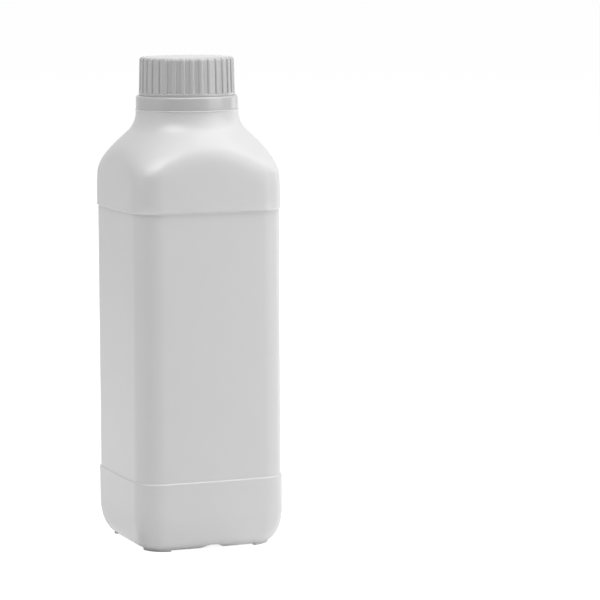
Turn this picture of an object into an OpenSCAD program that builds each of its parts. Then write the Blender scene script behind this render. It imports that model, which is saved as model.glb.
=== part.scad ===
// Square one-litre bottle with a ribbed screw cap and a tamper-evident ring.
// The body is blow-moulded in one piece: rounded-square plan, sunk label panel,
// domed shoulder, pushed-up base with four arc feet and a moulded neck finish.
// Origin: middle of the plane that the feet stand on. +Z is up.
// The mould's parting plane is X = 0, so the base notches lie in the middle of the Y sides.

/* [Body] */
// Width of the body across its flat sides
body_w = 77; // [72:0.5:86]
// Radius of the four upright corners
corner_r = 13.2; // [10:0.2:16]
// How far each side bows outward in its middle
side_bulge = 0.35; // [0:0.05:0.8]
// Wall thickness of the blown body
wall = 1.2; // [0.9:0.1:1.6]

/* [Heights] */
// Height of the lower band, from the base ring to the lower ledge
base_band_h = 33.8; // [28:0.1:45]
// Height of the sunk label panel
panel_h = 130.4; // [90:1:160]
// Height of the shoulder part, from the upper ledge to the neck ledge
shoulder_h = 48; // [44:0.5:60]

/* [Label panel] */
// How far the label panel is sunk at its foot
panel_inset = 0.6; // [0.3:0.1:1.2]
// How much further the panel is sunk at its head
panel_draft = 0.2; // [0:0.05:0.5]
// Height of each sloping ledge at the panel's ends
ledge_h = 0.5; // [0.4:0.1:2]

/* [Shoulder] */
// Height of the upright neck root under the neck ledge
neck_root_h = 1.3; // [1:0.1:6]
// Radius of the hollow curve from the neck root to the cone
neck_curve_r = 13; // [4:0.1:16]
// Radius of the curve from the cone to the upright sides
dome_r = 18.6; // [15:0.1:32]
// How far the dome's widest level reaches past the body's corners
dome_over = 7.8; // [2:0.1:12]
// Height of the dome's widest level above the upper ledge
dome_base_h = 4.8; // [1.5:0.1:8]
// Sharpness of the blend between the round dome and the square sides
dome_blend = 15; // [11:0.5:36]

/* [Base] */
// Width of the curved heel, measured in from the side
heel_w = 8.6; // [7.8:0.1:11]
// Height of the curved heel
heel_h = 16.9; // [12:0.1:24]
// How fast the corner radius shrinks along the heel, for each millimetre inward
heel_corner_rate = 0.46; // [0.3:0.02:0.7]
// Width of the flat base ring inside the heel
base_ring_w = 1.5; // [1.2:0.1:3]
// Depth of the pushed-up recess in the base
recess_depth = 4; // [2.5:0.1:7]
// Width of the recess's sloping wall, seen from below
recess_run = 3.3; // [2.5:0.1:6]
// Corner radius of the recess at its mouth
recess_corner_r = 6.2; // [4.5:0.1:9]
// Height of the notch in the middle of the front and back heel
notch_h = 2; // [1:0.1:2.6]
// Radius of the notch's round arch
notch_r = 8.5; // [6:0.5:12]
// Width of the raised pinch-off line across the recess
pinch_w = 0.8; // [0.5:0.1:1.5]
// Height of the raised pinch-off line
pinch_h = 0.3; // [0.2:0.1:1]

/* [Feet] */
// Height of each arc foot below the base ring
foot_h = 0.35; // [0.3:0.05:1.5]
// Width of each arc foot
foot_w = 2.7; // [2:0.1:3.4]
// Radius of each arc foot along its middle
foot_r = 11.3; // [7.5:0.1:12]
// Angle that each arc foot spans between the middles of its round ends
foot_angle = 65; // [40:1:90]
// Distance from the side of the body to a foot's middle line, where that comes nearest
foot_inset = 7.3; // [5.8:0.1:8]
// Width and height of the small step along the edges that touch the ground
foot_edge = 0.25; // [0.1:0.05:0.3]

/* [Neck finish] */
// Diameter of the neck ledge that the ring stands on
neck_ledge_d = 50; // [48:0.5:56]
// Wall thickness of the neck at the thread
neck_wall = 2.1; // [1.6:0.1:2.6]
// Height of the lip above the neck ledge
neck_h = 22.7; // [21:0.1:28]
// Height of the thread ridge above the neck wall
thread_depth = 1.1; // [0.8:0.05:1.3]
// Rise of the thread in one turn
thread_lead = 4; // [3.6:0.1:5]
// Number of turns on the neck
neck_turns = 2; // [1.25:0.25:2.25]
// Number of turns inside the cap
cap_turns = 1.75; // [1.25:0.25:2]
// Distance from the lip to the upper end of the neck's thread
thread_top = 5.4; // [4.5:0.1:6]
// How far the retaining bead stands out from the collar under it
bead_depth = 1; // [0.6:0.1:1.2]
// Radial thickness of the collar under the bead
collar_depth = 2; // [1.4:0.1:2.2]
// Height of the bead's underside above the neck ledge
bead_up = 2; // [1.8:0.1:2.6]

/* [Cap] */
// Height of the cap
cap_h = 18.4; // [17.6:0.1:24]
// Thickness of the cap's top plate
cap_top_t = 1.5; // [1.1:0.1:2.5]
// Thickness of the skirt at the bottom of its grooves
skirt_t = 1.15; // [0.9:0.05:1.6]
// Height of a grip rib above the groove floor
rib_depth = 0.6; // [0.3:0.05:1]
// Number of grip ribs
rib_count = 32; // [24:1:48]
// Share of each pitch that the rib takes up
rib_share = 0.5; // [0.35:0.01:0.7]
// How much the skirt's radius narrows from bottom to top
skirt_draft = 0.4; // [0:0.05:0.8]
// Height of the plain band under the ribs
band_h = 1.25; // [1:0.05:3]
// Rounding of the cap's upper edge
cap_edge_r = 1.5; // [0.8:0.1:2]
// Thickness of the sealing disc
liner_t = 0.8; // [0.5:0.05:1.5]

/* [Tamper-evident ring] */
// Height of the ring
ring_h = 6.4; // [5.6:0.1:6.6]
// Height of the open groove between the ring's outer wall and the neck ledge
ring_groove_h = 0.5; // [0.2:0.1:0.8]
// Chamfer along the ring's upper outer edge
ring_chamfer = 0.7; // [0.2:0.1:1]
// Wall thickness of the ring
ring_wall = 1.25; // [0.9:0.05:1.5]
// How far the ring stands out past the neck ledge
ring_over = 0.05; // [0:0.01:0.4]
// Thickness of the ring's inward top flange
ring_top_t = 1.1; // [0.8:0.1:1.4]
// Height of the inward catch at the ring's foot
catch_h = 1.5; // [1.2:0.1:1.6]
// Width of the catch's foot, which stands on the neck ledge
catch_foot_w = 0.6; // [0.4:0.1:0.9]
// Number of tear bridges between ring and cap
bridge_count = 12; // [6:1:20]
// Width of a tear bridge
bridge_w = 1.2; // [0.6:0.1:2]

/* [Clearances] */
// Radial gap between the two threads and the walls that they face
thread_gap = 0.3; // [0.2:0.05:0.4]
// Gap between the cap's skirt and the ring below it
cap_ring_gap = 0.25; // [0.2:0.05:0.8]
// Gap between a torn bridge's tip and the cap
bridge_gap = 0.12; // [0.1:0.01:0.3]
// Gap between the lip and the sealing disc
lip_gap = 0.05; // [0.02:0.01:0.2]
// Gap between the sealing disc and the skirt around it
liner_gap = 0.4; // [0.2:0.05:0.6]
// Gap between the ring's catch and the collar inside it
catch_gap = 0.4; // [0.2:0.05:0.5]
// Radial gap between the retaining bead and the ring around it
ring_gap = 0.5; // [0.3:0.05:0.8]

/* [Hidden] */

half_w = body_w / 2;
low_ledge_z = foot_h + base_band_h;
high_ledge_z = low_ledge_z + panel_h;
neck_z = high_ledge_z + shoulder_h;
lip_z = neck_z + neck_h;

// Neck finish radii, from the ledge and the ring on it inward to the bore
ring_r = neck_ledge_d / 2 + ring_over;
ring_bore_r = ring_r - ring_wall;
bead_r = ring_bore_r - ring_gap;
collar_r = bead_r - bead_depth;
neck_r = collar_r - collar_depth;
thread_r = neck_r + thread_depth;
bore_r = neck_r - neck_wall;
bead_z = neck_z + bead_up;
bead_h = 1;

// Cap, seated on the lip through the sealing disc
liner_z = lip_z + lip_gap;
cap_top_z = liner_z + liner_t + cap_top_t;
cap_z = cap_top_z - cap_h;
cap_bore_r = thread_r + thread_gap;
groove_r = cap_bore_r + skirt_t;
band_r = groove_r + rib_depth + 0.05;
rib_z = cap_z + band_h;
rib_root = 0.3;

// Ring, standing on the neck ledge
ring_top_z = min(neck_z + ring_h, cap_z - cap_ring_gap);
flange_in_r = band_r - 0.7;
catch_r = collar_r + catch_gap;

// Body profile values
corner_reach = (half_w - side_bulge - corner_r) * sqrt(2) + corner_r;
dome_max_r = corner_reach + dome_over;
dome_z = high_ledge_z + dome_base_h;
root_z = neck_z - neck_root_h;
curve_c = [neck_ledge_d / 2 + neck_curve_r, root_z];
dome_c = [dome_max_r - dome_r, dome_z];
centre_d = curve_c - dome_c;
// Slope of the cone that touches the hollow curve and the dome's curve
cone_angle = acos((dome_r + neck_curve_r) / norm(centre_d)) + atan2(centre_d[0], centre_d[1]);
neck_bore_skin_r = bore_r - 0.3;
tenon_h = 1.5;
ledge_t = tenon_h + 0.4;
funnel_wall = 2.6;
heel_floor_t = notch_h + 1;

// Facets of the blown skin
corner_steps = 8;
side_steps = 6;
ring_n = 4 * (corner_steps + side_steps);
heel_steps = 7;
cone_steps = 8;
dome_steps = 8;
curve_steps = 4;
recess_steps = 4;

// One side and one corner of the rounded square, turned to each quarter in turn
function quarter(half, r, bulge) = let (e = half - bulge - r)
    concat(
        [for (i = [0:side_steps - 1]) let (t = 2 * i / side_steps - 1)
            [half - bulge * t * t, e * t]],
        [for (j = [0:corner_steps - 1]) let (a = 90 * j / corner_steps)
            [e + r * cos(a), e + r * sin(a)]]);

function turned(p, a) = [p[0] * cos(a) - p[1] * sin(a), p[0] * sin(a) + p[1] * cos(a)];

function outline(half, r, bulge) =
    [for (q = [0:3]) for (p = quarter(half, r, bulge)) turned(p, 90 * q)];

function level(points, z) = [for (p = points) [p[0], p[1], z]];

// Smaller of two radii, with a rounded change from one to the other
function blended(a, b) = a * pow(1 + pow(a / b, dome_blend), -1 / dome_blend);

// A level of the shoulder: the square plan, held inside the dome's radius
function domed(inset, r, z) =
    [for (p = outline(half_w - inset, corner_r - inset, side_bulge))
        let (k = blended(norm(p), r) / norm(p)) [p[0] * k, p[1] * k, z]];

function plain(inset, z) =
    level(outline(half_w - inset, corner_r - inset, side_bulge), z);

function round_level(r, z) =
    [for (p = outline(half_w, corner_r, side_bulge)) let (k = r / norm(p)) [p[0] * k, p[1] * k, z]];

// A level of the heel: 0 is the base ring and 90 the upright side
function heel(a, inset, width, z, height) =
    let (d = width * (1 - sin(a)))
    level(outline(half_w - inset - d, corner_r - inset - heel_corner_rate * d, side_bulge),
        z + height * (1 - cos(a)));

// A level of the recess: 0 is its mouth and 1 its floor
recess_half = half_w - heel_w - base_ring_w;
recess_end_r = recess_corner_r - recess_run * 0.8;
function recess(u, offset, z, depth) =
    level(outline(recess_half + offset - recess_run * u,
            recess_corner_r + offset + (recess_end_r - recess_corner_r) * u, side_bulge),
        z + depth * (1 - cos(180 * u)) / 2);

// Points [radius, height] of the shoulder's profile, moved inward by the wall
function cone_normal() = [sin(cone_angle), cos(cone_angle)];
function curve_point(a, t) =
    curve_c - (neck_curve_r + t) * [cos(a), sin(a)];
function dome_point(a, t) =
    dome_c + (dome_r - t) * [cos(a), sin(a)];
function cone_point(u, t) =
    (1 - u) * dome_point(90 - cone_angle, t) + u * curve_point(90 - cone_angle, t);

outer_shoulder = concat(
    [for (i = [0:dome_steps - 1]) dome_point((90 - cone_angle) * i / dome_steps, 0)],
    [for (i = [0:cone_steps - 1]) cone_point(i / cone_steps, 0)],
    [for (i = [0:curve_steps]) curve_point((90 - cone_angle) * (1 - i / curve_steps), 0)]);

inner_dome_steps = 5;
inner_cone_steps = 5;
inner_shoulder = concat(
    [for (i = [0:inner_cone_steps]) cone_point(1 - i / inner_cone_steps, wall)],
    [for (i = [1:inner_dome_steps])
        dome_point((90 - cone_angle) * (1 - i / inner_dome_steps), wall)]);

// Outer levels, from the recess's floor up to the neck ledge
outer_levels = concat(
    [for (i = [0:recess_steps]) recess(1 - i / recess_steps, 0, foot_h, recess_depth)],
    [for (i = [0:heel_steps]) heel(90 * i / heel_steps, 0, heel_w, foot_h, heel_h)],
    [plain(0, low_ledge_z - ledge_h / 2), plain(panel_inset, low_ledge_z + ledge_h / 2),
        plain(panel_inset + panel_draft, high_ledge_z - ledge_h / 2),
        domed(0, dome_max_r, high_ledge_z + ledge_h / 2)],
    [for (p = outer_shoulder) domed(0, p[0], p[1])],
    [round_level(neck_ledge_d / 2, neck_z)]);

// Inner levels, from the neck back down to the floor
inner_heel_w = heel_w + base_ring_w - 2 * wall - 0.6;
inner_heel_z = foot_h + heel_floor_t;
inner_levels = concat(
    [round_level(neck_bore_skin_r, neck_z), round_level(neck_bore_skin_r, neck_z - ledge_t),
        round_level(neck_ledge_d / 2 - funnel_wall, neck_z - ledge_t - funnel_wall)],
    [for (p = inner_shoulder) domed(wall, p[0], p[1])],
    [plain(panel_inset + panel_draft + wall, high_ledge_z - wall),
        plain(panel_inset + wall, low_ledge_z + wall),
        plain(wall, low_ledge_z - wall)],
    [for (a = [90, 68, 45, 22, 0])
        heel(a, wall, inner_heel_w, inner_heel_z, foot_h + heel_h - inner_heel_z)],
    [for (u = [0, 0.35, 0.65, 1])
        recess(u, wall, inner_heel_z, foot_h + recess_depth + wall - inner_heel_z)]);

// A closed skin through a run of levels, with a point in the middle of each end
module skin(levels, first, last) {
    n = ring_n;
    top = len(levels) * n;
    points = concat([for (l = levels) for (p = l) p], [first, last]);
    sides = [for (i = [0:len(levels) - 2]) for (j = [0:n - 1]) let (k = (j + 1) % n)
        each [[i * n + j, (i + 1) * n + j, (i + 1) * n + k], [i * n + j, (i + 1) * n + k, i * n + k]]];
    first_fan = [for (j = [0:n - 1]) [top, j, (j + 1) % n]];
    last_fan = [for (j = [0:n - 1]) [top + 1, top - n + (j + 1) % n, top - n + j]];
    polyhedron(points, concat(sides, first_fan, last_fan));
}

// A helical ridge of trapezoid section that tapers away at both ends
thread_root_w = 2.2;
thread_crest_w = 1;
thread_steps = 36;
module ridge(root_r, crest_r, turns, z) {
    n = round(thread_steps * turns);
    runout = thread_steps / 6;
    outward = crest_r > root_r;
    rings = [for (i = [0:n])
        let (a = 360 * turns * i / n, h = z + thread_lead * turns * i / n,
            k = max(0.1, min(1, i / runout, (n - i) / runout)),
            c = root_r + (crest_r - root_r) * k, w = thread_root_w / 2, v = thread_crest_w / 2)
        [for (p = [[root_r, -w], [c, -v], [c, v], [root_r, w]])
            [p[0] * cos(a), p[0] * sin(a), h + p[1]]]];
    sides = [for (i = [0:n - 1]) for (j = [0:3]) let (k = (j + 1) % 4)
        each [[4 * i + j, 4 * i + k, 4 * i + 4 + k], [4 * i + j, 4 * i + 4 + k, 4 * i + 4 + j]]];
    ends = [[0, 2, 1], [0, 3, 2], [4 * n, 4 * n + 1, 4 * n + 2], [4 * n, 4 * n + 2, 4 * n + 3]];
    faces = concat(sides, ends);
    polyhedron([for (r = rings) for (p = r) p],
        outward ? faces : [for (f = faces) [f[2], f[1], f[0]]]);
}

// Two edge points of a foot's plan: turned by a round its arc, then moved straight on
function foot_station(a, along, half) =
    [for (side = [1, -1]) (foot_r + side * half) * [cos(a), sin(a)] + along * [-sin(a), cos(a)]];

// Plan of an arc foot: a bent bar with round ends
foot_steps = 12;
function foot_plan(half) = let (a = foot_angle / 2,
    stations = concat(
        [for (b = [78, 52, 26]) foot_station(-a, -half * sin(b), half * cos(b))],
        [for (i = [0:foot_steps]) foot_station(a * (2 * i / foot_steps - 1), 0, half)],
        [for (b = [26, 52, 78]) foot_station(a, half * sin(b), half * cos(b))]))
    concat([for (p = stations) p[0]], [for (i = [len(stations) - 1:-1:0]) stations[i][1]]);

// Four arc feet, let into the heel
module feet() {
    seat = half_w - foot_inset - foot_r;
    top = foot_h + heel_floor_t - 0.4;
    for (q = [0:3])
        rotate([0, 0, 90 * q])
            translate([seat, seat, 0])
                rotate([0, 0, 45]) {
                    linear_extrude(height = foot_h + 0.5)
                        polygon(foot_plan(foot_w / 2 - foot_edge));
                    translate([0, 0, foot_edge])
                        linear_extrude(height = top - foot_edge)
                            polygon(foot_plan(foot_w / 2));
                }
}

// Arched notches through the heel and base ring, in the middle of the front and back
module notches() {
    inner_end = recess_half - recess_run / 2;
    for (side = [-1, 1])
        translate([0, side * (inner_end + half_w + 1) / 2, foot_h + notch_h - notch_r])
            rotate([90, 0, 0])
                cylinder(r = notch_r, h = half_w + 1 - inner_end, center = true, $fn = 96);
}

// Raised line where the mould pinched the tube shut, across the recess's floor
module pinch_line() {
    floor_z = foot_h + recess_depth;
    length = 2 * (recess_half - recess_run);
    translate([-pinch_w / 2, -length / 2, floor_z - pinch_h])
        cube([pinch_w, length, pinch_h + wall / 2]);
}

// Turned neck finish: wall, lip, retaining bead and collar
module neck_finish() {
    lip_r = 0.5;
    rotate_extrude($fn = 128)
        polygon([[bore_r - 0.3, neck_z - tenon_h], [collar_r, neck_z - tenon_h],
            [collar_r, bead_z], [bead_r, bead_z + 0.2], [bead_r, bead_z + bead_h],
            [neck_r + 0.6, bead_z + bead_h + 1.6], [neck_r, bead_z + bead_h + 1.9],
            [neck_r, lip_z - lip_r], [neck_r - lip_r, lip_z],
            [bore_r + lip_r, lip_z], [bore_r - 0.3, lip_z - lip_r - 0.3]]);
}

module bottle() {
    color("whitesmoke")
        difference() {
            union() {
                skin(concat(outer_levels, inner_levels),
                    [0, 0, foot_h + recess_depth], [0, 0, foot_h + recess_depth + wall]);
                neck_finish();
                ridge(neck_r - 0.4, thread_r, neck_turns, lip_z - thread_top - thread_lead * neck_turns);
                feet();
                pinch_line();
            }
            translate([0, 0, neck_z - ledge_t - 1])
                cylinder(r = bore_r, h = neck_h + ledge_t + 2, $fn = 128);
            notches();
        }
}

// Corner arc of the cap's upper edge, at a given radius of the skirt's top
edge_steps = 5;
function edge_arc(r) =
    [for (i = [0:edge_steps]) let (a = 90 * i / edge_steps)
        [r - cap_edge_r * (1 - cos(a)), cap_top_z - cap_edge_r * (1 - sin(a))]];

module cap_shell() {
    rotate_extrude($fn = 144)
        polygon(concat(
            [[cap_bore_r, cap_z], [band_r, cap_z], [band_r, rib_z], [groove_r, rib_z]],
            edge_arc(groove_r - skirt_draft),
            [[0, cap_top_z], [0, cap_top_z - cap_top_t], [cap_bore_r, cap_top_z - cap_top_t]]));
}

// Upright grip ribs that run over the rounded upper edge
module grip_ribs() {
    pitch = 360 / rib_count;
    width = pitch * rib_share;
    tip_r = groove_r + rib_depth;
    for (i = [0:rib_count - 1])
        rotate([0, 0, pitch * i - width / 2])
            rotate_extrude(angle = width, $fn = 144)
                polygon(concat(
                    [[groove_r - skirt_draft - rib_root, rib_z - rib_root], [tip_r, rib_z - rib_root]],
                    edge_arc(tip_r - skirt_draft),
                    [[groove_r - skirt_draft - cap_edge_r, cap_top_z],
                        [groove_r - skirt_draft - cap_edge_r, cap_top_z - rib_root * 2],
                        [groove_r - skirt_draft - rib_root, cap_top_z - cap_edge_r - rib_root]]));
}

module cap() {
    color("gainsboro")
        union() {
            cap_shell();
            grip_ribs();
            ridge(cap_bore_r + 0.3, neck_r + thread_gap, cap_turns,
                lip_z - thread_top - thread_lead * (neck_turns + 0.5) + thread_lead);
        }
}

module tamper_ring() {
    color("lightgray") {
        rotate_extrude($fn = 128)
            polygon([[catch_r, neck_z], [catch_r + catch_foot_w, neck_z],
                [catch_r + catch_foot_w, neck_z + ring_groove_h], [ring_r, neck_z + ring_groove_h],
                [ring_r, ring_top_z - ring_chamfer], [ring_r - ring_chamfer, ring_top_z],
                [flange_in_r, ring_top_z],
                [flange_in_r, ring_top_z - ring_top_t], [ring_bore_r, ring_top_z - ring_top_t],
                [ring_bore_r, neck_z + catch_h + 0.5], [catch_r, neck_z + catch_h]]);
        for (i = [0:bridge_count - 1])
            rotate([0, 0, 360 * (i + 0.5) / bridge_count])
                translate([flange_in_r + 0.1, -bridge_w / 2, ring_top_z - ring_top_t / 2])
                    cube([band_r - flange_in_r - 0.2, bridge_w,
                        cap_z - bridge_gap - ring_top_z + ring_top_t / 2]);
    }
}

module liner() {
    color("white")
        translate([0, 0, liner_z])
            cylinder(r = cap_bore_r - liner_gap, h = liner_t, $fn = 128);
}

bottle();
cap();
tamper_ring();
liner();
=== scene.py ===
"""Square bottle with a ribbed screw cap and a tamper-evident ring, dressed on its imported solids.

Sizes are in millimetres in the sections and become metres when a mesh is made.
"""

import math

import bpy
import numpy as np
from mathutils import Matrix


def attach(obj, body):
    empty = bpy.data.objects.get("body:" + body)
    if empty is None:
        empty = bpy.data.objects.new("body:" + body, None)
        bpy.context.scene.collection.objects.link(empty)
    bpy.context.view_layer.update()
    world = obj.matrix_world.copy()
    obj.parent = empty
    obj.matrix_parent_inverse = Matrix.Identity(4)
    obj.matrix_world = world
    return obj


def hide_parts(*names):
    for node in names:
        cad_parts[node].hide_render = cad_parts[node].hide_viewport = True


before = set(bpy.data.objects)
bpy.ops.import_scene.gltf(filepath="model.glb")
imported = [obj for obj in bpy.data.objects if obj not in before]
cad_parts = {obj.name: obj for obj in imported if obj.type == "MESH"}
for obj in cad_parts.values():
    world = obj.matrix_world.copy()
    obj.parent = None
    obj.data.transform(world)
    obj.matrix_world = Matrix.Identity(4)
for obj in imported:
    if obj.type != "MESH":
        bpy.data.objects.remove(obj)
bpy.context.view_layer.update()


# ---------------------------------------------------------------- blown bottle body
# The body is one hollow skin of white polyethylene, blown into a two-part mould that meets at X = 0.
# A rounded-square plan carries a sunk label panel between two bands, a domed shoulder, and a heel
# that curls under to a narrow ring round the pushed-up base.

MM = 0.001

body_half, body_corner_r, side_bow = 38.5, 13.2, 0.35
wall = 1.2
base_z, low_ledge_z, high_ledge_z, neck_z = 0.35, 34.15, 164.55, 212.55
foot_sink, head_sink, ledge_rise, ledge_round = 0.6, 0.8, 0.5, 0.15

side_places = np.concatenate([
    np.linspace(-1, -0.24, 13, endpoint=False),
    np.linspace(-0.24, 0.24, 20, endpoint=False),
    np.linspace(0.24, 1, 13, endpoint=False)])
corner_turns = np.radians(np.linspace(0, 90, 20, endpoint=False))


def turned(points, degrees):
    """The plan points turned about the bottle's axis."""
    a = math.radians(degrees)
    return points @ np.array([[math.cos(a), math.sin(a)], [-math.sin(a), math.cos(a)]])


def rounded_square(half, corner_r, bow=side_bow):
    """Plan of the body: four bowed sides joined by round corners, anticlockwise from +X."""
    straight = half - bow - corner_r
    side = np.column_stack([half - bow * side_places ** 2, straight * side_places])
    corner = np.column_stack([straight + corner_r * np.cos(corner_turns),
                              straight + corner_r * np.sin(corner_turns)])
    return np.vstack([turned(np.vstack([side, corner]), 90 * quarter) for quarter in range(4)])


def at_height(plan, z):
    return np.column_stack([plan, np.full(len(plan), float(z))])


def wall_level(inset, z):
    return at_height(rounded_square(body_half - inset, body_corner_r - inset), z)


plan_directions = rounded_square(body_half, body_corner_r)
plan_directions /= np.linalg.norm(plan_directions, axis=1)[:, None]


def round_level(radius, z):
    return at_height(plan_directions * radius, z)


# Pushed-up base: floor, sloping wall and the narrow ring that the heel starts from
heel_w, heel_h, heel_corner_rate, base_ring_w = 8.6, 16.9, 0.46, 1.5
recess_depth, recess_run, recess_corner_r = 4.0, 3.3, 6.2
recess_half = body_half - heel_w - base_ring_w
recess_floor_r = recess_corner_r - 0.8 * recess_run


def recess_level(inward, offset, z, depth):
    """A level of the recess: inward is 0 at its mouth and 1 at its floor."""
    plan = rounded_square(recess_half + offset - recess_run * inward,
                          recess_corner_r + offset + (recess_floor_r - recess_corner_r) * inward)
    return at_height(plan, z + depth * (1 - math.cos(math.pi * inward)) / 2)


def heel_level(turn, inset, width, z, height):
    """A level of the heel: turn is 0 at the base ring and 90 at the upright side."""
    inward = width * (1 - math.sin(math.radians(turn)))
    plan = rounded_square(body_half - inset - inward,
                          body_corner_r - inset - heel_corner_rate * inward)
    return at_height(plan, z + height * (1 - math.cos(math.radians(turn))))


# Shoulder: the square plan held inside a dome, a straight cone and a hollow curve up to the neck
neck_ledge_r, neck_root_h, neck_curve_r = 25.0, 1.3, 13.0
dome_r, dome_over, dome_base_h, dome_blend = 18.6, 7.8, 4.8, 15.0
corner_reach = (body_half - side_bow - body_corner_r) * math.sqrt(2) + body_corner_r
dome_widest_r = corner_reach + dome_over
curve_centre = np.array([neck_ledge_r + neck_curve_r, neck_z - neck_root_h])
dome_centre = np.array([dome_widest_r - dome_r, high_ledge_z + dome_base_h])
between = curve_centre - dome_centre
cone_angle = (math.acos((dome_r + neck_curve_r) / np.linalg.norm(between))
              + math.atan2(between[0], between[1]))
cone_turn = math.pi / 2 - cone_angle


def dome_point(turn, depth):
    return dome_centre + (dome_r - depth) * np.array([math.cos(turn), math.sin(turn)])


def curve_point(turn, depth):
    return curve_centre - (neck_curve_r + depth) * np.array([math.cos(turn), math.sin(turn)])


def domed_level(inset, radius, z):
    """The square plan drawn in to the dome's radius, with a soft change from one to the other."""
    plan = rounded_square(body_half - inset, body_corner_r - inset)
    reach = np.linalg.norm(plan, axis=1)
    drawn = reach * (1 + (reach / radius) ** dome_blend) ** (-1 / dome_blend)
    return at_height(plan * (drawn / reach)[:, None], z)


def shoulder_profile(depth, dome_steps, cone_steps, curve_steps):
    """Radius and height from the dome's widest level up to the neck root."""
    foot, head = dome_point(cone_turn, depth), curve_point(cone_turn, depth)
    return np.vstack(
        [dome_point(cone_turn * i / dome_steps, depth) for i in range(dome_steps)]
        + [foot + (head - foot) * i / cone_steps for i in range(cone_steps)]
        + [curve_point(cone_turn * (1 - i / curve_steps), depth) for i in range(curve_steps + 1)])


def ledge_steps(z, lower_inset, upper_inset):
    """Inset and height across a sloping ledge with rounded edges."""
    slope = np.linspace(-1, 1, 9)
    ease = np.sin(slope * math.pi / 2) * 0.5 + 0.5
    insets = lower_inset + (upper_inset - lower_inset) * ease
    heights = z + slope * (ledge_rise + ledge_round) / 2
    return list(zip(insets, heights))


outer_levels = (
    [recess_level(1, 0, base_z, recess_depth) * [k, k, 1] for k in (0.2, 0.45, 0.7, 0.9)]
    + [recess_level(u, 0, base_z, recess_depth) for u in np.linspace(1, 0, 15)]
    + [heel_level(a, 0, heel_w, base_z, heel_h) for a in np.linspace(0, 90, 31)]
    + [wall_level(0, z) for z in np.linspace(20, low_ledge_z - 0.6, 5)]
    + [wall_level(inset, z) for inset, z in ledge_steps(low_ledge_z, 0, foot_sink)]
    + [wall_level(foot_sink + (head_sink - foot_sink) * i / 12,
                  low_ledge_z + 1 + (high_ledge_z - low_ledge_z - 2) * i / 12) for i in range(13)]
    + [wall_level(inset, z) for inset, z in ledge_steps(high_ledge_z, head_sink, 0)]
    + [domed_level(0, dome_widest_r, high_ledge_z + 0.8)]
    + [domed_level(0, r, z) for r, z in shoulder_profile(0, 30, 14, 14)])

# Neck finish, moulded in one with the body: ledge, collar, retaining bead, screw thread and lip
bore_r, neck_r, thread_crest_r, collar_r, bead_r = 18.2, 20.3, 21.4, 22.3, 23.3
bead_z, lip_z, lip_round, ledge_over = neck_z + 2, neck_z + 22.7, 0.5, 0.25
thread_lead, thread_root_w, thread_crest_w = 4.0, 2.2, 1.0
neck_turns, neck_thread_z = 2.0, lip_z - 13.4


def quarter_round(centre_r, centre_z, radius, start, end, steps):
    """Radius and height round an edge, from one turn to another in degrees."""
    turns = np.radians(np.linspace(start, end, steps + 1))
    return [(centre_r + radius * math.cos(a), centre_z + radius * math.sin(a)) for a in turns]


def thread_share(angles, z, start_z, turns, run_out=1 / 6):
    """How far the screw thread stands up, 0 to 1, at a height all round the axis."""
    share = np.zeros(len(angles))
    for lap in range(int(turns) + 2):
        along = (angles % (2 * math.pi)) / (2 * math.pi) + lap
        off = np.abs(z - start_z - thread_lead * along)
        ramp = np.clip((thread_root_w / 2 - off) / ((thread_root_w - thread_crest_w) / 2), 0, 1)
        taper = np.clip(np.minimum(along, turns - along) / run_out, 0, 1)
        share = np.maximum(share, ramp * taper)
    return share * share * (3 - 2 * share)


plan_angles = np.arctan2(plan_directions[:, 1], plan_directions[:, 0])


def threaded_level(z):
    share = thread_share(plan_angles, z, neck_thread_z, neck_turns)
    radius = neck_r + (thread_crest_r - neck_r) * share
    return at_height(plan_directions * radius[:, None], z)


outer_levels += [round_level(r, z) for r, z in (
    [(neck_ledge_r, neck_z - 0.95), (neck_ledge_r + 0.04, neck_z - 0.8),
     (neck_ledge_r + ledge_over - 0.04, neck_z - 0.6), (neck_ledge_r + ledge_over, neck_z - 0.5)]
    + quarter_round(neck_ledge_r + ledge_over - 0.36, neck_z - 0.36, 0.36, 0, 90, 6)
    + [(collar_r + 1, neck_z), (collar_r + 0.2, neck_z), (collar_r, neck_z + 0.2),
       (collar_r, bead_z - 0.1), (collar_r + 0.1, bead_z)]
    + quarter_round(bead_r - 0.2, bead_z + 0.25, 0.2, -60, 90, 5)
    + [(bead_r - 0.4, bead_z + 0.6), (neck_r + 0.7, bead_z + 2.5), (neck_r + 0.2, bead_z + 2.8),
       (neck_r, bead_z + 3.1), (neck_r, neck_thread_z - 2.5)])]
outer_levels += [threaded_level(neck_thread_z + rise) for rise in np.arange(-1.7, 9.9, 0.25)]
outer_levels += [round_level(r, z) for r, z in (
    [(neck_r, lip_z - 2.5)]
    + quarter_round(neck_r - lip_round, lip_z - lip_round, lip_round, 0, 90, 6)
    + quarter_round(bore_r + lip_round, lip_z - lip_round, lip_round, 90, 180, 6)
    + [(bore_r, z) for z in np.linspace(lip_z - 1.9, neck_z - 1.7, 5)]
    + [(bore_r + 0.25, neck_z - 1.9), (neck_ledge_r - 2.6, neck_z - 4.5)])]

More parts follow.
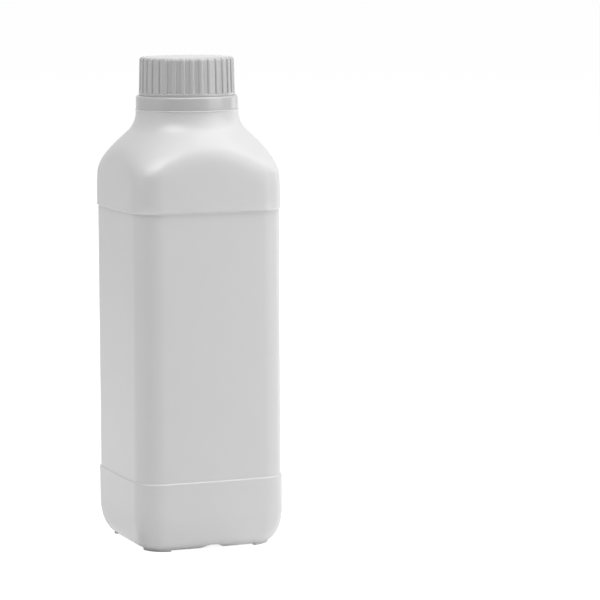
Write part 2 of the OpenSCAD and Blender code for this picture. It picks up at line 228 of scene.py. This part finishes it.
# Inside of the body, from under the neck down to the raised floor
inner_heel_w, inner_heel_z = heel_w + base_ring_w - 2 * wall - 0.6, base_z + 3.0
inner_floor_rise = base_z + recess_depth + wall - inner_heel_z
inner_levels = (
    [domed_level(wall, r, z) for r, z in shoulder_profile(wall, 14, 6, 2)[-3:-17:-1]]
    + [domed_level(wall, r, z) for r, z in shoulder_profile(wall, 14, 6, 2)[5::-1]]
    + [wall_level(head_sink + wall, high_ledge_z - wall),
       wall_level(foot_sink + wall, low_ledge_z + wall), wall_level(wall, low_ledge_z - wall)]
    + [heel_level(a, wall, inner_heel_w, inner_heel_z, base_z + heel_h - inner_heel_z)
       for a in np.linspace(90, 0, 11)]
    + [recess_level(u, wall, inner_heel_z, inner_floor_rise) for u in np.linspace(0, 1, 8)]
    + [recess_level(1, wall, inner_heel_z, inner_floor_rise) * [k, k, 1] for k in (0.7, 0.4)])

# Round-arched notches through the front and back heel, where the two mould halves close
notch_h, notch_r, notch_edge = 2.0, 8.5, 0.25
notch_half_w, notch_fade, notch_start_y = 7.5, 1.5, 22


def with_notches(level):
    """Lifts the heel and base ring to the arch, with a small rounding where they meet."""
    x, y, z = level.T
    across = np.clip(np.abs(x), 0, notch_r - 0.5)
    arch = base_z + notch_h - notch_r + np.sqrt(notch_r ** 2 - across ** 2)
    lifted = (z + arch + np.sqrt((z - arch) ** 2 + notch_edge ** 2)) / 2
    near = (np.abs(y) > notch_start_y) & (np.abs(x) < notch_half_w) & (z < base_z + notch_h + 2)
    fade = np.clip((notch_half_w - np.abs(x)) / notch_fade, 0, 1)
    return np.column_stack([x, y, np.where(near, z + (lifted - z) * fade, z)])


outer_levels = [with_notches(level) for level in outer_levels]


def skin_piece(name, levels, start_height, end_height):
    """A closed mesh through a run of levels, closed by a point on the axis at each end."""
    around, count = len(levels[0]), len(levels)
    points = np.vstack(levels + [[[0, 0, start_height]], [[0, 0, end_height]]]) * MM
    here = np.arange(count - 1)[:, None] * around + np.arange(around)[None, :]
    beside = np.arange(count - 1)[:, None] * around + (np.arange(around)[None, :] + 1) % around
    quads = np.stack([here, beside, beside + around, here + around], axis=-1).reshape(-1, 4)
    first, last = count * around, count * around + 1
    ring = np.arange(around)
    after = (ring + 1) % around
    top = (count - 1) * around
    fans = ([(first, int(b), int(a)) for a, b in zip(ring, after)]
            + [(last, int(top + a), int(top + b)) for a, b in zip(ring, after)])
    mesh = bpy.data.meshes.new(name)
    mesh.from_pydata(points.tolist(), [], quads.tolist() + fans)
    mesh.update()
    mesh.shade_smooth()
    piece = bpy.data.objects.new(name, mesh)
    bpy.context.scene.collection.objects.link(piece)
    return piece


bottle = skin_piece("bottle_body", outer_levels + inner_levels,
                    base_z + recess_depth, base_z + recess_depth + wall)

# Four arc feet stand in the corners of the base, with round ends and softened lower edges
foot_path_r, foot_half_w, foot_turn, foot_seat, foot_edge = 11.3, 1.35, 65, 19.9, 0.25
foot_top_z = 2.9


def foot_plan(half_width):
    """Plan of one arc foot, anticlockwise."""
    half_turn = math.radians(foot_turn / 2)
    arc = np.linspace(-half_turn, half_turn, 25)
    cap_arc = np.linspace(0, math.pi, 9)[1:-1]
    end = foot_path_r * np.array([math.cos(half_turn), math.sin(half_turn)])
    outer = (foot_path_r + half_width) * np.column_stack([np.cos(arc), np.sin(arc)])
    inner = (foot_path_r - half_width) * np.column_stack([np.cos(arc[::-1]), np.sin(arc[::-1])])
    far = end + half_width * np.column_stack([np.cos(half_turn + cap_arc), np.sin(half_turn + cap_arc)])
    near = far[::-1] * [1, -1]
    return np.vstack([outer, far, inner, near])


def closed_prism(name, levels):
    """A closed mesh through a run of levels, with a flat face at each end."""
    around, count = len(levels[0]), len(levels)
    quads = [(i * around + j, i * around + (j + 1) % around,
              (i + 1) * around + (j + 1) % around, (i + 1) * around + j)
             for i in range(count - 1) for j in range(around)]
    ends = [tuple(range(around))[::-1], tuple(range((count - 1) * around, count * around))]
    mesh = bpy.data.meshes.new(name)
    mesh.from_pydata((np.vstack(levels) * MM).tolist(), [], quads + ends)
    mesh.update()
    mesh.shade_smooth()
    piece = bpy.data.objects.new(name, mesh)
    bpy.context.scene.collection.objects.link(piece)
    return piece


def merge_into(piece, addition):
    """Fuses a moulded detail into the piece that it is one with."""
    fuse = piece.modifiers.new("fuse", "BOOLEAN")
    fuse.operation, fuse.solver, fuse.object = "UNION", "MANIFOLD", addition
    bpy.context.view_layer.update()
    fused = bpy.data.meshes.new_from_object(piece.evaluated_get(bpy.context.evaluated_depsgraph_get()))
    fused.name = piece.name
    piece.modifiers.clear()
    piece.data = fused
    bpy.data.objects.remove(addition)


foot_rounding = [(foot_edge * (1 - math.sin(a)), foot_edge * (1 - math.cos(a)))
                 for a in np.radians(np.linspace(0, 90, 6))]
for quarter in range(4):
    foot_levels = []
    for inset, z in foot_rounding + [(0, foot_top_z)]:
        plan = turned(turned(foot_plan(foot_half_w - inset), 45) + foot_seat, 90 * quarter)
        foot_levels.append(at_height(plan, z))
    merge_into(bottle, closed_prism("foot", foot_levels))

# Raised line where the mould pinched the tube shut, from notch to notch, and a short plain bar
pinch_half_w, pinch_rise, pinch_end_y = 0.4, 0.3, 33.4
bar_start_x, bar_end_x, bar_y, bar_half_w, bar_rise = 16.5, 21, 0.7, 0.3, 0.22


def raised_line(name, route, outward, across, half_width, rise):
    """A rounded ridge along a route of points, half sunk in the surface."""
    ring = np.linspace(0, 2 * math.pi, 10, endpoint=False)
    levels = [point + np.outer(np.cos(ring) * half_width, across) + np.outer(np.sin(ring) * rise, out)
              for point, out in zip(route, outward)]
    return closed_prism(name, levels)


arch_z = base_z + notch_h
route_y = np.linspace(-pinch_end_y, pinch_end_y, 121)
route_z = []
for y in np.abs(route_y):
    if y < recess_half - recess_run:
        z = base_z + recess_depth
    elif y < recess_half:
        z = base_z + recess_depth * (1 - math.cos(math.pi * (recess_half - y) / recess_run)) / 2
    else:
        z = base_z
    route_z.append(max(z, arch_z))
route_z = np.convolve(np.pad(route_z, 1, mode="edge"), [0.25, 0.5, 0.25], mode="valid")
pinch_route = np.column_stack([np.zeros(len(route_y)), route_y, route_z])
slope = np.gradient(route_z, route_y)
pinch_out = np.column_stack([np.zeros(len(route_y)), slope, -np.ones(len(route_y))])
pinch_out /= np.linalg.norm(pinch_out, axis=1)[:, None]
merge_into(bottle, raised_line("pinch_line", pinch_route, pinch_out, [1, 0, 0],
                               pinch_half_w, pinch_rise))
bar_route = np.column_stack([np.linspace(bar_start_x, bar_end_x, 10), np.full(10, bar_y),
                             np.full(10, base_z + recess_depth)])
merge_into(bottle, raised_line("plain_bar", bar_route, np.tile([0, 0, -1], (10, 1)), [0, 1, 0],
                               bar_half_w, bar_rise))
bottle.data.set_sharp_from_angle(angle=math.radians(38))


def moulded_plastic(name, colour, roughness, grain_size, grain_rise, cloud_rise):
    """Satin moulded plastic: a fine mould grain, a slow unevenness and a slightly mottled gloss."""
    material = bpy.data.materials.new(name)
    material.use_nodes = True
    nodes, links = material.node_tree.nodes, material.node_tree.links
    shader = nodes["Principled BSDF"]
    place = nodes.new("ShaderNodeTexCoord")
    grain = nodes.new("ShaderNodeTexNoise")
    grain.inputs["Scale"].default_value = 1 / grain_size
    grain.inputs["Detail"].default_value = 3
    cloud = nodes.new("ShaderNodeTexNoise")
    cloud.inputs["Scale"].default_value = 38
    cloud.inputs["Detail"].default_value = 2
    fine = nodes.new("ShaderNodeBump")
    fine.inputs["Distance"].default_value = grain_rise
    fine.inputs["Strength"].default_value = 1
    slow = nodes.new("ShaderNodeBump")
    slow.inputs["Distance"].default_value = cloud_rise
    slow.inputs["Strength"].default_value = 1
    gloss = nodes.new("ShaderNodeMapRange")
    gloss.inputs["To Min"].default_value = roughness - 0.05
    gloss.inputs["To Max"].default_value = roughness + 0.05
    tint = nodes.new("ShaderNodeMix")
    tint.data_type = "RGBA"
    tint.inputs[6].default_value = (*[c * 0.985 for c in colour], 1)
    tint.inputs[7].default_value = (*[min(1, c * 1.015) for c in colour], 1)
    for texture in (grain, cloud):
        links.new(place.outputs["Object"], texture.inputs["Vector"])
    links.new(cloud.outputs["Fac"], slow.inputs["Height"])
    links.new(grain.outputs["Fac"], fine.inputs["Height"])
    links.new(slow.outputs["Normal"], fine.inputs["Normal"])
    links.new(fine.outputs["Normal"], shader.inputs["Normal"])
    links.new(grain.outputs["Fac"], gloss.inputs["Value"])
    links.new(gloss.outputs["Result"], shader.inputs["Roughness"])
    links.new(cloud.outputs["Fac"], tint.inputs[0])
    links.new(tint.outputs[2], shader.inputs["Base Color"])
    shader.inputs["IOR"].default_value = 1.52
    return material


bottle_white = moulded_plastic("bottle_white", (0.62, 0.62, 0.62), 0.36, 0.0007, 0.000004, 0.00002)
bottle.data.materials.clear()
bottle.data.materials.append(bottle_white)
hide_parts("bottle")
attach(bottle, "bottle")


# ---------------------------------------------------------------- tamper-evident ring
# A loose ring of the cap's own plastic, trapped under the neck's bead. Twelve thin bridges held it
# to the cap when both were moulded as one. They are torn here, so the cap turns and the ring stays.

ring_r, ring_bore_r, ring_top_z = 24.9, 23.8, neck_z + 6.52
flange_in_r, flange_h, catch_r, catch_top_h = 22.8, 1.1, 22.7, 1.5
catch_foot_r, ring_groove_h, ring_edge = 24.2, 0.06, 0.08
ring_slope, slope_soft = 0.7, 0.12
bridge_count, bridge_w, bridge_top_z = 12, 1.2, ring_top_z + 0.03
bridge_in_r, bridge_out_r, bridge_tip_share = flange_in_r + 0.1, 23.4, 0.6

ring_turns = np.linspace(0, 2 * math.pi, 240, endpoint=False)
ring_directions = np.column_stack([np.cos(ring_turns), np.sin(ring_turns)])


def turned_piece(name, profile, around=240):
    """A closed lathe-turned mesh from a closed loop of radius and height, anticlockwise."""
    turns = np.linspace(0, 2 * math.pi, around, endpoint=False)
    directions = np.column_stack([np.cos(turns), np.sin(turns)])
    points = np.vstack([at_height(directions * r, z) for r, z in profile]) * MM
    count = len(profile)
    faces = [(i * around + j, i * around + (j + 1) % around,
              (i + 1) % count * around + (j + 1) % around, (i + 1) % count * around + j)
             for i in range(count) for j in range(around)]
    mesh = bpy.data.meshes.new(name)
    mesh.from_pydata(points.tolist(), [], faces)
    mesh.update()
    mesh.shade_smooth()
    piece = bpy.data.objects.new(name, mesh)
    bpy.context.scene.collection.objects.link(piece)
    return piece


ring_profile = (
    [(catch_r + 0.1, neck_z), (catch_foot_r, neck_z), (catch_foot_r, neck_z + ring_groove_h - 0.03),
     (catch_foot_r + 0.03, neck_z + ring_groove_h), (24.6, neck_z + ring_groove_h)]
    + quarter_round(ring_r - ring_edge, neck_z + ring_groove_h + ring_edge, ring_edge, -90, 0, 5)
    + [(ring_r, neck_z + 2), (ring_r, neck_z + 4), (ring_r, ring_top_z - ring_slope - slope_soft),
       (ring_r - 0.03, ring_top_z - ring_slope), (ring_r - 0.12, ring_top_z - ring_slope + slope_soft),
       (ring_r - ring_slope + slope_soft, ring_top_z - 0.12), (ring_r - ring_slope, ring_top_z - 0.03),
       (ring_r - ring_slope - slope_soft, ring_top_z)]
    + [(23.6, ring_top_z), (flange_in_r + 0.15, ring_top_z), (flange_in_r, ring_top_z - 0.15),
       (flange_in_r, ring_top_z - flange_h + 0.1), (flange_in_r + 0.1, ring_top_z - flange_h),
       (ring_bore_r - 0.2, ring_top_z - flange_h), (ring_bore_r, ring_top_z - flange_h - 0.2),
       (ring_bore_r, neck_z + catch_top_h + 0.6), (ring_bore_r - 0.1, neck_z + catch_top_h + 0.45),
       (catch_r + 0.15, neck_z + catch_top_h), (catch_r, neck_z + catch_top_h - 0.15),
       (catch_r, neck_z + 0.1)])
ring = turned_piece("tamper_band", ring_profile)
for bridge in range(bridge_count):
    side, foot = bridge_w / 2, ring_top_z - flange_h / 2
    plan = np.array([[bridge_out_r, -side], [bridge_out_r, side], [bridge_in_r, side],
                     [bridge_in_r, -side]])
    centre, turn = plan.mean(0), 360 / bridge_count * (bridge + 0.5)
    tip = centre + (plan - centre) * bridge_tip_share
    stub = [at_height(turned(plan, turn), foot), at_height(turned(plan, turn), ring_top_z + 0.01),
            at_height(turned(tip, turn), bridge_top_z)]
    merge_into(ring, closed_prism("bridge", stub))
ring.data.set_sharp_from_angle(angle=math.radians(38))

cap_grey = moulded_plastic("cap_grey", (0.49, 0.49, 0.49), 0.22, 0.0005, 0.000003, 0.00001)
ring.data.materials.clear()
ring.data.materials.append(cap_grey)
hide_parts("tamper_ring")
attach(ring, "bottle")


# ---------------------------------------------------------------- sealing disc
# A disc of foamed polyethylene pressed into the cap. The bottle's lip seals on it and has left a
# shallow round mark.

disc_r, disc_z, disc_t, disc_edge = 21.3, lip_z + 0.05, 0.8, 0.12
lip_mark, mark_in_r, mark_out_r = 0.06, 18.1, 20.3

disc_levels = [(r, disc_z) for r in (4.0, 9.0, 14.0, mark_in_r - 0.2)]
disc_levels += [(mark_in_r + 0.2, disc_z + lip_mark), (mark_out_r - 0.2, disc_z + lip_mark),
                (mark_out_r + 0.2, disc_z)]
disc_levels += quarter_round(disc_r - disc_edge, disc_z + disc_edge, disc_edge, -90, 0, 4)
disc_levels += quarter_round(disc_r - disc_edge, disc_z + disc_t - disc_edge, disc_edge, 0, 90, 4)
disc_levels += [(r, disc_z + disc_t) for r in (18.0, 12.0, 6.0)]
disc = skin_piece("sealing_disc", [at_height(ring_directions * r, z) for r, z in disc_levels],
                  disc_z, disc_z + disc_t)

foam_white = moulded_plastic("foam_white", (0.80, 0.80, 0.78), 0.75, 0.0004, 0.00004, 0.00001)
disc.data.materials.append(foam_white)
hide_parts("liner")
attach(disc, "liner")


# ---------------------------------------------------------------- screw cap
# An injection-moulded cap: 32 grip ribs run up the skirt and over its rounded upper edge, a plain
# band closes them off below, and a screw thread inside draws the cap down on the neck.

cap_top_t, cap_h = 1.5, 18.46
cap_top_z = disc_z + disc_t + cap_top_t
cap_z = cap_top_z - cap_h
cap_bore_r, groove_r, rib_rise, cap_band_r = 21.7, 22.65, 0.8, 23.5
cap_band_top, skirt_draft, cap_edge_r = cap_z + 1.25, 0.4, 1.5
cap_turns_in, cap_thread_z, cap_thread_crest_r = 1.75, lip_z - 11.4, 20.6
rib_count, rib_half_share, rib_roundness, rib_shift = 32, 0.26, 2.3, 0.62

rib_across = np.sin(np.radians(np.linspace(-90, 90, 17)))
rib_arch = (1 - np.abs(rib_across) ** rib_roundness) ** (1 / rib_roundness)
rib_places = np.concatenate([[0, .09, .17, .22], 0.5 + rib_half_share * rib_across, [.78, .83, .91]])
rib_heights = np.concatenate([np.zeros(4), rib_arch, np.zeros(3)])
rib_turns = np.concatenate([(i + rib_places - rib_shift) * 2 * math.pi / rib_count
                            for i in range(rib_count)])
rib_share = np.tile(rib_heights, rib_count)
rib_directions = np.column_stack([np.cos(rib_turns), np.sin(rib_turns)])


def ribbed_level(radius, z, rise):
    return at_height(rib_directions * (radius + rise * rib_share)[:, None], z)


def skirt_r(z):
    """Radius of the groove floor, drawn in a little towards the top."""
    foot, head = cap_band_top, cap_top_z - cap_edge_r
    return groove_r - skirt_draft * np.clip((z - foot) / (head - foot), 0, 1)


cap_levels = [ribbed_level(r, cap_z, 0) for r in (21.95, 23.3)]
cap_levels += [ribbed_level(r, z, 0)
               for r, z in quarter_round(cap_band_r - 0.08, cap_z + 0.08, 0.08, -80, 0, 4)]
cap_levels += [ribbed_level(r, z, 0) for r, z in
               quarter_round(cap_band_r - 0.12, cap_band_top - 0.12, 0.12, 0, 75, 4)]
cap_levels += [ribbed_level(groove_r + 0.25, cap_band_top + 0.03, rib_rise - 0.2),
               ribbed_level(groove_r + 0.05, cap_band_top + 0.12, rib_rise)]
cap_levels += [ribbed_level(skirt_r(z), z, rib_rise)
               for z in np.linspace(cap_band_top + 0.35, cap_top_z - cap_edge_r, 14)]
edge_turns = np.radians(np.linspace(0, 90, 11))[1:]
cap_levels += [ribbed_level(groove_r - skirt_draft - cap_edge_r * (1 - math.cos(a)),
                            cap_top_z - cap_edge_r * (1 - math.sin(a)), rib_rise)
               for a in edge_turns]
cap_levels += [ribbed_level(r, cap_top_z, 0) for r in (20.5, 17.0, 12.0, 7.0, 3.0)]

inner_cap_levels = [ribbed_level(r, cap_top_z - cap_top_t, 0) for r in (6.0, 14.0, 21.0, 21.5)]
inner_cap_levels += [ribbed_level(cap_bore_r, cap_top_z - cap_top_t - 0.2, 0),
                     ribbed_level(cap_bore_r, lip_z - 1.9, 0)]
for z in np.arange(lip_z - 2.9, lip_z - 13, -0.3):
    share = thread_share(rib_turns, z, cap_thread_z, cap_turns_in)
    radius = cap_bore_r - (cap_bore_r - cap_thread_crest_r) * share
    inner_cap_levels.append(at_height(rib_directions * radius[:, None], z))
inner_cap_levels += [ribbed_level(cap_bore_r, lip_z - 14.4, 0),
                     ribbed_level(cap_bore_r, cap_z + 0.25, 0)]


cap = skin_piece("screw_cap", inner_cap_levels + cap_levels, cap_top_z - cap_top_t, cap_top_z)
cap.data.set_sharp_from_angle(angle=math.radians(60))
cap.data.materials.append(cap_grey)
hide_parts("cap")
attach(cap, "cap")


# ---------------------------------------------------------------- studio
# A pale floor under a white room, lit by soft boxes: most of the light comes from high on both
# sides and from the right. The side that the lens looks from is unlit, so it mirrors dark in the
# plastic. A long lens stands a metre and a half away, a little above the cap.

floor_mesh = bpy.data.meshes.new("studio_floor")
floor_reach = 40.0
corners = [(-1, -1, 0), (1, -1, 0), (1, 1, 0), (-1, 1, 0)]
floor_mesh.from_pydata([[floor_reach * c for c in corner] for corner in corners], [], [(0, 1, 2, 3)])
floor = bpy.data.objects.new("studio_floor", floor_mesh)
bpy.context.scene.collection.objects.link(floor)

dark_heading, dark_inner, dark_outer = -26, 38, 52
floor_glow, floor_seen, room_light, room_seen = 0.08, 0.84, 0.17, 1.0


def studio_level(tree, vector, lit, seen):
    """A strength: seen for rays that show the studio, but lit for those mirrored from its dark side."""
    nodes, links = tree.nodes, tree.links
    a = math.radians(dark_heading)
    unit = nodes.new("ShaderNodeVectorMath")
    unit.operation = "NORMALIZE"
    along = nodes.new("ShaderNodeVectorMath")
    along.operation = "DOT_PRODUCT"
    along.inputs[1].default_value = (math.sin(a), -math.cos(a), 0)
    share = nodes.new("ShaderNodeMapRange")
    share.inputs["From Min"].default_value = math.cos(math.radians(dark_inner))
    share.inputs["From Max"].default_value = math.cos(math.radians(dark_outer))
    links.new(vector, unit.inputs[0])
    links.new(unit.outputs[0], along.inputs[0])
    links.new(along.outputs["Value"], share.inputs["Value"])
    rays = nodes.new("ShaderNodeLightPath")
    mirrored, direct, shown = [nodes.new("ShaderNodeMath") for _ in range(3)]
    mirrored.operation, direct.operation, shown.operation = "MULTIPLY", "MAXIMUM", "MAXIMUM"
    links.new(rays.outputs["Is Glossy Ray"], mirrored.inputs[0])
    links.new(share.outputs["Result"], mirrored.inputs[1])
    links.new(rays.outputs["Is Camera Ray"], direct.inputs[0])
    links.new(mirrored.outputs[0], direct.inputs[1])
    links.new(direct.outputs[0], shown.inputs[0])
    links.new(rays.outputs["Is Transmission Ray"], shown.inputs[1])
    level = nodes.new("ShaderNodeMapRange")
    level.inputs["To Min"].default_value = lit
    level.inputs["To Max"].default_value = seen
    links.new(shown.outputs[0], level.inputs["Value"])
    return level.outputs["Result"]


paper = bpy.data.materials.new("studio_paper")
paper.use_nodes = True
nodes, links = paper.node_tree.nodes, paper.node_tree.links
sheet_shader = nodes["Principled BSDF"]
sheet_shader.inputs["Base Color"].default_value = (0.86, 0.86, 0.86, 1)
sheet_shader.inputs["Roughness"].default_value = 0.9
sheet_shader.inputs["Specular IOR Level"].default_value = 0.0
glow = nodes.new("ShaderNodeEmission")
glow.inputs["Color"].default_value = (1, 1, 1, 1)
both = nodes.new("ShaderNodeAddShader")
place = nodes.new("ShaderNodeNewGeometry").outputs["Position"]
links.new(studio_level(paper.node_tree, place, floor_glow, floor_seen), glow.inputs["Strength"])
links.new(sheet_shader.outputs[0], both.inputs[0])
links.new(glow.outputs[0], both.inputs[1])
links.new(both.outputs[0], nodes["Material Output"].inputs["Surface"])
floor_mesh.materials.append(paper)

sky = bpy.data.worlds.new("studio_room")
bpy.context.scene.world = sky
sky.use_nodes = True
nodes, links = sky.node_tree.nodes, sky.node_tree.links
room = nodes["Background"]
room.inputs["Color"].default_value = (1, 1, 1, 1)
direction = nodes.new("ShaderNodeTexCoord").outputs["Generated"]
links.new(studio_level(sky.node_tree, direction, room_light, room_seen), room.inputs["Strength"])


def soft_light(name, heading, height, distance, width, tall, power):
    """A soft box that faces the bottle's middle; heading is degrees right of the -Y side."""
    data = bpy.data.lights.new(name, "AREA")
    data.shape, data.size, data.size_y, data.energy = "RECTANGLE", width, tall, power
    light = bpy.data.objects.new(name, data)
    a = math.radians(heading)
    light.location = (distance * math.sin(a), -distance * math.cos(a), height)
    aim = -light.location.copy()
    aim.z += 0.12
    light.rotation_euler = aim.to_track_quat("-Z", "Y").to_euler()
    bpy.context.scene.collection.objects.link(light)


soft_light("light_right", 48, 0.55, 1.3, 0.9, 1.1, 6.4)
soft_light("light_high_right", 80, 1.05, 0.95, 0.8, 0.8, 3.6)
soft_light("light_top", 60, 1.5, 0.5, 0.9, 0.9, 5.6)
soft_light("light_high_left", -60, 1.4, 0.7, 0.8, 0.8, 11.8)
soft_light("light_left", -92, 0.35, 1.3, 0.5, 1.0, 0.4)
soft_light("light_back_right", 112, 0.40, 1.2, 0.4, 1.0, 1.5)

camera_data = bpy.data.cameras.new("long_lens")
camera_data.sensor_width, camera_data.lens = 36, 185.92
camera = bpy.data.objects.new("long_lens", camera_data)
bpy.context.scene.collection.objects.link(camera)
heading, pitch, roll = -0.37602, 0.12069, -0.00465
camera_place = (-0.50435, -1.42648, 0.30135)
forward = np.array([-math.sin(heading) * math.cos(pitch), math.cos(heading) * math.cos(pitch),
                    -math.sin(pitch)])
right = np.array([math.cos(heading), math.sin(heading), 0])
up = np.cross(right, forward)
tilted_right = math.cos(roll) * right + math.sin(roll) * up
tilted_up = math.cos(roll) * up - math.sin(roll) * right
place = Matrix.Identity(4)
for row in range(3):
    place[row] = (tilted_right[row], tilted_up[row], -forward[row], camera_place[row])
camera.matrix_world = place
bpy.context.scene.camera = camera
bpy.context.scene.view_settings.view_transform = "Standard"
